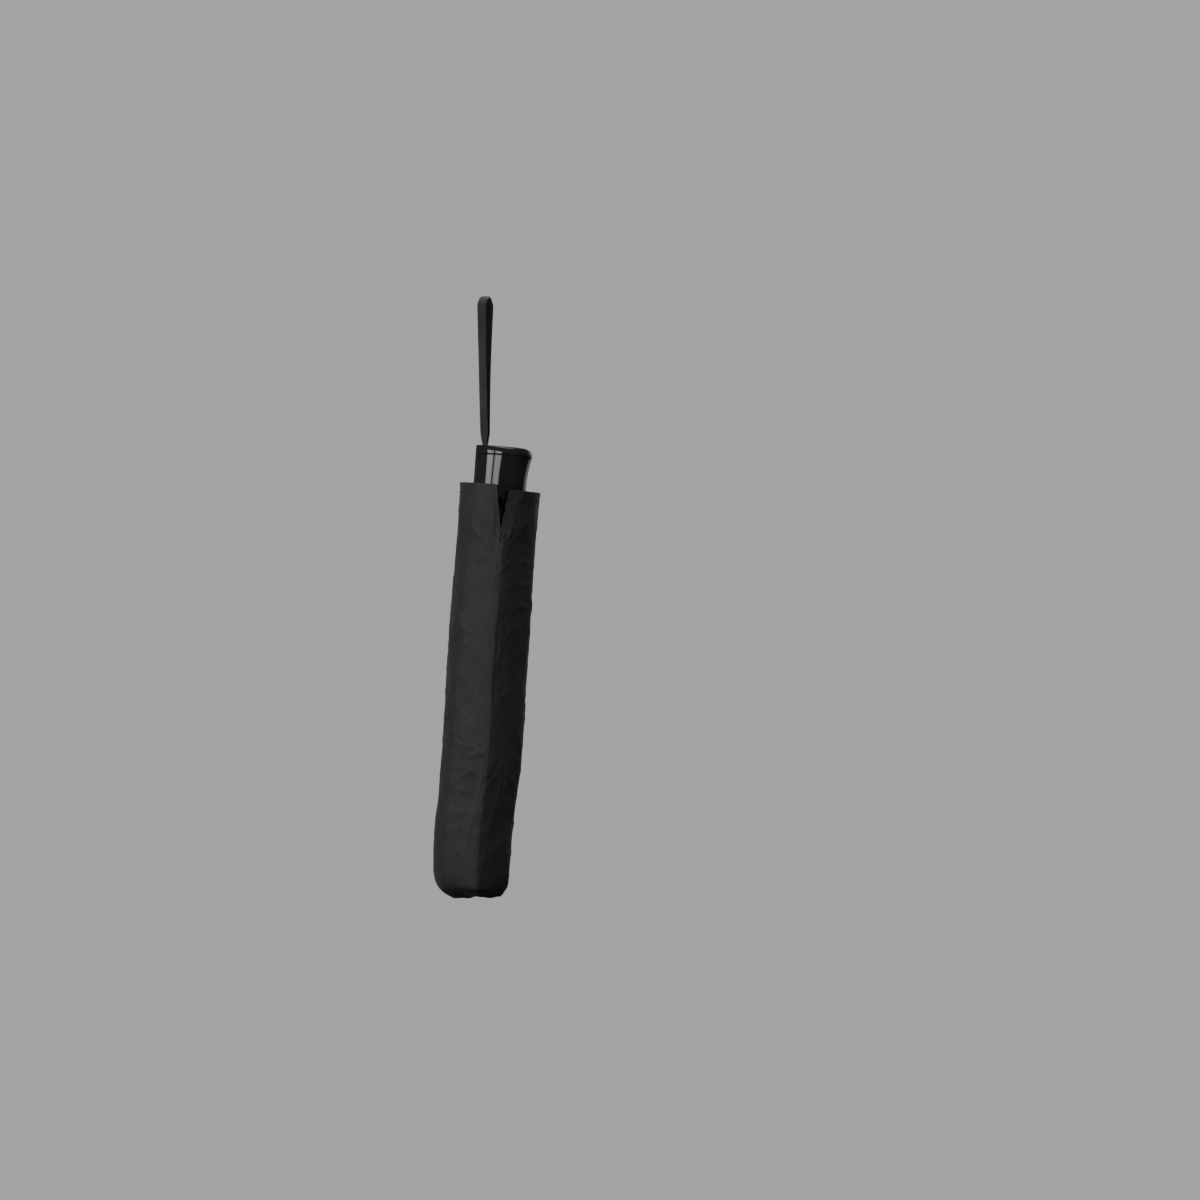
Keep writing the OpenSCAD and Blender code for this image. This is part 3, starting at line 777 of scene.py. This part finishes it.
def make_cap():
    """End cap: a rim at the seam, domed more to the right than to the left, with the strap's hole."""
    x, r = flare(CAP_SEAM)
    seam = HANDLE_END - CAP_SEAM
    rings = [(x, seam - 0.1 * MM, r - 1.4 * MM), (x, seam - 0.08 * MM, r - 0.3 * MM),
             (x, seam + 0.05 * MM, r - 0.08 * MM), (x, seam + 0.2 * MM, r)]
    rim = CAP_SEAM - 0.8 * MM
    top_x, top_r = -2.2 * MM, 15.1 * MM
    for turn in np.radians(np.arange(0, 91, 9)):
        k = 1 - math.cos(turn)
        h = HANDLE_END - rim * (1 - math.sin(turn))
        rings.append((x + (top_x - x) * k, h, r + (top_r - r) * k))
    rings += [(top_x, HANDLE_END + 0.02 * MM, top_r - shrink)
              for shrink in (0.5 * MM, 1.2 * MM, 3 * MM, 6 * MM, 10 * MM, 14 * MM)]
    # as deep from front to back as the grip
    rings = [(x, h, side, side * GRIP_R / r) for x, h, side in rings]
    cap = lathe("handle_cap", rings, "handle_gloss")
    hole_x = float((KNOT - CROWN) @ RIGHT)
    hole = [(hole_x, HANDLE_END + h, STRAP_HOLE_R) for h in (-4 * MM, 2 * MM)]
    subtract(cap, lathe("hole", hole, "handle_gloss", sides=48))
    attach(cap, "handle")
    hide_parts("end_cap")


def subtract(body, cutter):
    """Cut one object out of another, and delete the cutter."""
    modifier = body.modifiers.new("cut", "BOOLEAN")
    modifier.operation = "DIFFERENCE"
    modifier.object = cutter
    modifier.solver = "EXACT"
    bpy.context.view_layer.objects.active = body
    bpy.ops.object.modifier_apply(modifier="cut")
    bpy.data.objects.remove(cutter)


def cut_button_well(body):
    """Pill-shaped well in the grip for the push button."""
    subtract(body, pill("cutter", BUTTON_H, -GRIP_R + 3.2 * MM, -GRIP_R - 4 * MM, *WELL_SIZE))


def pill(name, h, y_inner, y_outer, half_w, half_l, dome=0.0, sides=64):
    """Pill-shaped block across the front, with its long side along the shaft and a domed outer face."""
    turn = np.linspace(0, 2 * math.pi, sides, endpoint=False)
    straight = half_l - half_w

    def ring(y, shrink):
        w = half_w - shrink
        x = w * np.cos(turn)
        z = w * np.sin(turn) + np.sign(np.sin(turn)) * straight
        return shaft(x, y, h + z)

    rings = [ring(y_inner, 0)]
    if dome:
        rings.append(ring(y_outer + dome, 0))
        for a in np.radians(np.arange(15, 91, 15)):
            rings.append(ring(y_outer + dome * (1 - math.sin(a)), dome * (1 - math.cos(a))))
    else:
        rings.append(ring(y_outer, 0))
    faces = grid_faces(len(rings), sides, True) + end_faces(len(rings), sides)
    uv = np.zeros((len(rings) * sides, 2))
    return add_mesh(name, np.array(rings), faces, "handle_gloss", uv)


def make_button():
    """Push button with rounded edges."""
    low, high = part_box("push_button")
    cap = pill("push_button_cap", BUTTON_H, high.y, low.y, *BUTTON_SIZE, dome=0.9 * MM)
    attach(cap, "button")
    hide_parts("push_button")


def make_button_spring():
    """Coil behind the push button."""
    low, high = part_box("button_spring")
    wire, turns, travel = 0.25 * MM, 5, JOINTS["button_press"]["range_m"][1]
    centre = vec((low + high) / 2)
    coil_r = (high.x - low.x) / 2 - wire
    t = np.linspace(0, 1, 30 * turns)[:, None]
    turn = 2 * math.pi * turns * t
    path = centre + coil_r * (np.cos(turn) * RIGHT + np.sin(turn) * UP)
    path = path - FRONT * (t - 0.5) * (high.y - low.y - 2 * wire)
    spring = tube("button_coil", path, wire, "steel")
    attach(spring, "button")
    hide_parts("button_spring")
    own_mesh(spring)


# ---- folded canopy ----

ROLL_LOW, ROLL_HIGH = reach("canopy_outer_1", UP)
ROLL_IN = 17.0 * MM
ROLL_OUT = 22.0 * MM
STRAP_H = sum(reach("closing_strap", UP)) / 2
# each gore: its pleats between two ribs and their radii, and its flap wound round the bundle
PLEATS = 52
PLEAT_IN, PLEAT_OUT = 9.8, 16.2
PLEATS_START, PLEATS_SPAN = math.radians(8), math.radians(44)
FLAP_STEPS = 84
FLAP_TURNS = 1.65
PLY_GAP = 0.22 * MM
FILM = 0.09 * MM


def roll_shape(r, angle, h):
    """Radius of the folded cloth: fluted, drawn in under the closing strap and rounded at the crown."""
    free = smooth((r - 15 * MM) / (6 * MM))
    up = h / MM
    flutes = 0.35 * np.sin(3 * angle + up / 30) + 0.28 * np.sin(7 * angle - up / 21 + 1.1)
    flutes += 0.16 * np.sin(13 * angle + up / 11 + 0.6 * np.sin(up / 17))
    tight = -0.7 * bump((h - STRAP_H) / MM, 9) + 0.25 * bump((h - STRAP_H) / MM - 17, 7)
    tight += 0.9 * smooth((h - ROLL_HIGH + 12 * MM) / (12 * MM))
    r = r + free * (flutes * (1 - 0.7 * bump((h - STRAP_H) / MM, 10)) + tight) * MM
    # towards the crown the layers close up and run in under the crown cap
    squeeze = 0.06 + 0.94 * smooth((h / MM + 2.5) / 10.5)
    core = np.interp(h / MM, (-2.5, -1.8, -0.8, 0.6, 2.5), (11.6, 13.6, 15.6, 16.8, 17.0)) * MM
    return np.where(r > ROLL_IN, core + (r - ROLL_IN) * squeeze, r * core / ROLL_IN)


def make_folded_canopy():
    """The canopy as it is folded: each gore is pleated between two ribs and wound round the bundle."""
    near_crown = np.array([6, 3.5, 1.8, 0.4, -0.8, -1.7, -2.45]) * MM
    rows = np.concatenate([np.linspace(ROLL_HIGH, 9 * MM, 29), near_crown])[:, None]
    slant = 0.05 * (rows - STRAP_H) / (ROLL_HIGH - ROLL_LOW)
    gores = []
    for i in range(1, RIBS + 1):
        start = azimuth(i)
        k = np.arange(PLEATS + 1)
        pack_r = np.where(k % 2 == 0, PLEAT_IN, PLEAT_OUT) * MM
        pack_angle = start + PLEATS_START + k / PLEATS * PLEATS_SPAN
        p = np.linspace(0.02, 1, FLAP_STEPS)
        out_p = p[None, :] * (1 + slant)
        out_angle = pack_angle[-1] + out_p * FLAP_TURNS * 2 * math.pi
        out_r = ROLL_IN + (ROLL_OUT - ROLL_IN) * out_p
        # the flap's edge stands up a little, and the cloth comes back under itself
        out_r = out_r + 0.5 * MM * smooth((p - 0.97) / 0.03)[None, :]
        back_r = out_r - PLY_GAP
        edge_angle = out_angle[:, -1:] + 0.004
        edge_r = (out_r[:, -1:] + back_r[:, -1:]) / 2
        r = np.concatenate([pack_r + 0 * rows, out_r, edge_r, back_r[:, ::-1]], axis=1)
        angle = np.concatenate([pack_angle + 0 * rows, out_angle, edge_angle, out_angle[:, ::-1]],
                               axis=1)
        grid = polar(roll_shape(r, angle, rows), angle, rows)
        outside, inside = thicken(grid, FILM)
        steps = np.linalg.norm(np.diff(grid[10], axis=0), axis=1)
        path = np.concatenate([[0], np.cumsum(steps)])
        uv = uv_grid(path[None, :], rows)
        gores.append(shell(f"gore_{i}", outside, inside, "canopy_cloth", uv))
    roll = join(gores, "folded_canopy")
    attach(roll, "crown")
    shaft(0, 0, 4.5 * MM)
    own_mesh(roll)


def make_closing_strap():
    """Strap round the folded canopy with its press stud."""
    low, high = reach("closing_strap", UP)
    # t counts turns round the roll: the strap's end lies over its beginning
    t = np.linspace(-0.06, 1.04, 120)[None, :]
    angle = azimuth(1) + t * 2 * math.pi
    width = np.linspace(0, 1, 7)[:, None]
    trim = 1 - smooth((t - 1.0) / 0.04) * 0.35
    h = low + (high - low) * (0.5 + (width - 0.5) * trim) + 0.8 * MM * np.sin(angle * 2)
    overlap = 0.9 * smooth(t / 0.06) * smooth((t - 0.5) / 0.5)
    r = (22.7 + overlap + 0.15 * np.sin(5 * angle)) * MM
    outside, inside = thicken(polar(r, angle, h), 0.55 * MM)
    uv = uv_grid(t * 0.14, width * (high - low))
    strap = shell("closing_strap_band", outside, inside, "canopy_cloth", uv)
    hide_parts("closing_strap")
    stud_angle = azimuth(1) + 2 * math.pi * 0.995
    out = polar(1.0, stud_angle, 0.0) - CROWN
    centre = polar(23.8 * MM, stud_angle, (low + high) / 2)
    stud = press_stud("closing_strap_stud", centre, out, 4.2 * MM, 1.3 * MM, "steel")
    outward = polar(1.0, azimuth(1), 0.0) - CROWN
    for piece, slot in ((strap, "canopy_cloth"), (stud, "steel")):
        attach(piece, "rib_outer_1")
        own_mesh(piece)


def press_stud(name, centre, axis, r, height, material, sides=40):
    """Rolled rim round a low dome. The profile is in shares of the stud's radius and height."""
    side = np.cross(axis, UP)
    side /= np.linalg.norm(side)
    up = np.cross(side, axis)
    turn = np.linspace(0, 2 * math.pi, sides, endpoint=False)[:, None]
    ring = np.cos(turn) * side + np.sin(turn) * up
    profile = ((0.9, 0.0), (1.0, 0.25), (0.97, 0.55), (0.88, 0.68), (0.78, 0.6), (0.7, 0.62),
               (0.55, 0.82), (0.35, 0.96), (0.12, 1.0))
    points = np.array([centre + ring * r * k + axis * height * q for k, q in profile])
    faces = grid_faces(len(profile), sides, True) + end_faces(len(profile), sides)
    return add_mesh(name, points, faces, material, np.zeros((len(profile) * sides, 2)))


# ---- open canopy ----

HEM_SCALLOP = 18 * MM
# how far the cloth lies above the ribs' pivots and tips
PIVOT_LIFT = 2.6
TIP_LIFT = 2.1
# the cloth is clamped under the crown cap between these radii
CLAMP_RADII = (6.5, 11.5)
CLAMP_DROP = 2.45
GORE_ROWS, GORE_COLUMNS = 26, 35
CLOTH_WALL = 0.22 * MM
HEM_WALL = 0.6 * MM
# shares of the full bow that the zones' borders take at the elbows and the knees
ELBOW_BOW, KNEE_BOW = 0.6, 0.75
BLEND_BAND = 5 * MM
HALVINGS = 44


def turn_about(joint, value):
    """Matrix that turns by a joint's value about its axis."""
    j = JOINTS[joint]
    pivot = Vector(j["pos_m"])
    return np.array(Matrix.Translation(pivot) @ Matrix.Rotation(value, 4, Vector(j["axis"]))
                    @ Matrix.Translation(-pivot))


def move(matrix, points):
    """Points moved by a 4 x 4 matrix."""
    return points @ matrix[:3, :3].T + matrix[:3, 3]


def open_ribs(i):
    """Matrices that take the inner, middle and outer rib number i from rest to the open umbrella."""
    placements, matrix = [], np.eye(4)
    for zone in ZONES:
        name = f"rib_{zone}_hinge_{i}"
        matrix = matrix @ turn_about(name, RATIOS[name] * TRAVEL)
        placements.append(matrix)
    return placements


def rib_line(i):
    """Corner points of the cloth's line over open rib i: two at the clamp, elbow, knee, tip."""
    inner, middle, outer = open_ribs(i)
    pivots = [vec(JOINTS[f"rib_{zone}_hinge_{i}"]["pos_m"]) for zone in ZONES]
    crown, elbow, knee = pivots[0], move(inner, pivots[1]), move(middle, pivots[2])
    tip_rest = [vec(v.co) for v in frame["nodes"][f"rib_outer_{i}"].data.vertices]
    tip = move(outer, max(tip_rest, key=lambda p: p @ UP))
    out = crown - CROWN
    out /= np.linalg.norm(out)
    corners = [CROWN + out * r * MM - UP * CLAMP_DROP * MM for r in CLAMP_RADII]
    for before, here, after in ((crown, elbow, knee), (elbow, knee, tip)):
        corners.append(here + PIVOT_LIFT * MM * across_rib(after - before, out))
    corners.append(tip + TIP_LIFT * MM * across_rib(tip - knee, out))
    return np.array(corners)


def across_rib(direction, out):
    """Unit vector square to a rib's direction, on the crown's side."""
    side = np.cross(direction, np.cross(out, UP))
    side /= np.linalg.norm(side)
    return side if side @ UP < 0 else -side


def line_points(corners, s):
    """Points at distances s along the corner line, with its bends rounded."""
    steps = np.linalg.norm(np.diff(corners, axis=0), axis=1)
    ends = np.concatenate([[0], np.cumsum(steps)])
    soften = np.minimum(14 * MM, s * 0.5)[:, None] * np.linspace(-1, 1, 9)
    places = np.clip(s[:, None] + soften, 0, ends[-1])
    sampled = np.stack([np.interp(places, ends, corners[:, axis]) for axis in range(3)], axis=-1)
    beyond = (s[:, None] + soften - places)[..., None]
    last = (corners[-1] - corners[-2]) / steps[-1]
    return (sampled + beyond * last).mean(axis=1), ends


LINES = {i: rib_line(i) for i in range(1, RIBS + 1)}


def open_cloth(i, s, u):
    """Cloth of gore i at distances s from the middle and shares u from rib i to the next, open."""
    near, ends = line_points(LINES[i], s.ravel())
    far = line_points(LINES[i % RIBS + 1], s.ravel())[0]
    near, far = near.reshape(*s.shape, 3), far.reshape(*s.shape, 3)
    chord = np.linalg.norm(far - near, axis=-1)
    points = near * (1 - u)[..., None] + far * u[..., None]
    # the cloth sags between the ribs, but not at the knees
    slack = 4 * u * (1 - u)
    slack = slack * (0.01 + 0.012 * smooth((s - ends[3]) / 0.1) - 0.01 * bump(s - ends[3], 0.1))
    points = points + (chord * slack)[..., None] * UP
    # felled seam along each rib, and tension ripples that fan out from the tips
    from_rib = np.minimum(u, 1 - u) * chord / MM
    ripple = 0.8 * np.sin(from_rib / 9) * np.exp(-from_rib / 40) * smooth((s / ends[-1] - 0.6) / 0.4)
    seam = 0.55 * bump(from_rib - 2.2, 1.6)
    return points - ((seam + ripple) * MM)[..., None] * UP, chord


def folded_place(points, i, zone, placement):
    """Rest place of open points, and the start and end of the blend from rib i to the canopy body.

    The blend turns a point by the share w of the fan's angle, which depends on where the point is at
    rest. Halving finds the w that fits each open point.
    """
    joint = f"canopy_{zone}_fan_{i}"
    pivot, axis = vec(JOINTS[joint]["pos_m"]), vec(JOINTS[joint]["axis"])
    angle = RATIOS[joint] * TRAVEL
    back = move(np.linalg.inv(placement), points) - pivot
    first = back[len(back) // 2, 0]
    rib = first - (first @ axis) * axis
    rib /= np.linalg.norm(rib)
    side = np.cross(axis, rib)
    along_axis = (back @ axis)[..., None] * axis
    flat, crossed = back - along_axis, np.cross(axis, back)

    def turned(w):
        a = (-w * angle)[..., None]
        return flat * np.cos(a) + crossed * np.sin(a) + along_axis

    low, high = np.zeros(back.shape[:-1]), np.ones(back.shape[:-1])
    for _ in range(HALVINGS):
        w = (low + high) / 2
        above = smooth(turned(w) @ side / BLEND_BAND) > w
        low, high = np.where(above, w, low), np.where(above, high, w)
    return turned((low + high) / 2) + pivot, pivot, pivot + BLEND_BAND * side


def border_bow(i, zone, s, placement):
    """How far the border at s bows outwards in mid gore, to stay at one distance from the zone's apex."""
    apex = move(placement, vec(JOINTS[f"canopy_{zone}_fan_{i}"]["pos_m"]))
    bow = 0.0
    for _ in range(6):
        places, shares = np.array([[s, s + bow]]), np.array([[0.0, 0.5]])
        ends = np.linalg.norm(open_cloth(i, places, shares)[0][0] - apex, axis=1)
        bow += ends[0] - ends[1]
    return bow


def make_open_gore(i):
    """The three cloth panels of gore i. They are made in their open shape and put back to rest."""
    placements = open_ribs(i)
    ends = line_points(LINES[i], np.zeros(1))[1]
    elbow = ELBOW_BOW * np.mean([border_bow(i, ZONES[z], ends[2], placements[z]) for z in (0, 1)])
    knee = KNEE_BOW * np.mean([border_bow(i, ZONES[z], ends[3], placements[z]) for z in (1, 2)])
    borders = ((0.0, 0.0), (ends[2], elbow), (ends[3], knee), (ends[4], -HEM_SCALLOP))
    # columns are closer together near the ribs
    even = np.linspace(0, 1, GORE_COLUMNS)
    u = (0.5 - 0.5 * np.cos(np.linspace(0, math.pi, GORE_COLUMNS))) * 0.6 + even * 0.4
    share = np.tile(u, (GORE_ROWS, 1))
    for z, zone in enumerate(ZONES):
        low, high = (place + bow * 4 * u * (1 - u) for place, bow in borders[z:z + 2])
        s = low + (high - low) * np.linspace(0, 1, GORE_ROWS)[:, None]
        points, chord = open_cloth(i, s, share)
        wall = np.full(points.shape[:2], CLOTH_WALL)
        if zone == "outer":
            wall[-3:] = HEM_WALL
        outside, inside = thicken(points, wall)
        rest = [folded_place(grid, i, zone, placements[z]) for grid in (outside, inside)]
        uv = np.stack([u * chord, s], axis=-1)
        panel = shell(f"canopy_{zone}_cloth_{i}", rest[0][0], rest[1][0], "canopy_cloth", uv)
        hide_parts(f"canopy_{zone}_{i}")
        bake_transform(panel)


# ---- finishing the CAD nodes that stay ----

def dress_cad_nodes():
    """Materials and smooth shading for the CAD nodes that stay visible."""
    slots = {part["node"]: part["material_slot"] for part in frame["record"]["subparts"]}
    for name, node in frame["nodes"].items():
        node.data.materials.clear()
        node.data.materials.append(MATERIALS[slots[name]])
        node.data.shade_smooth()
        node.data.set_sharp_from_angle(angle=math.radians(32))


MATERIALS = make_materials()
make_camera()
make_world()
make_lights()
make_floor()
dress_cad_nodes()
make_strap()
make_handle()
make_cap()
make_button()
make_button_spring()
make_sleeve()
make_folded_canopy()
make_closing_strap()
for gore in range(1, RIBS + 1):
    make_open_gore(gore)
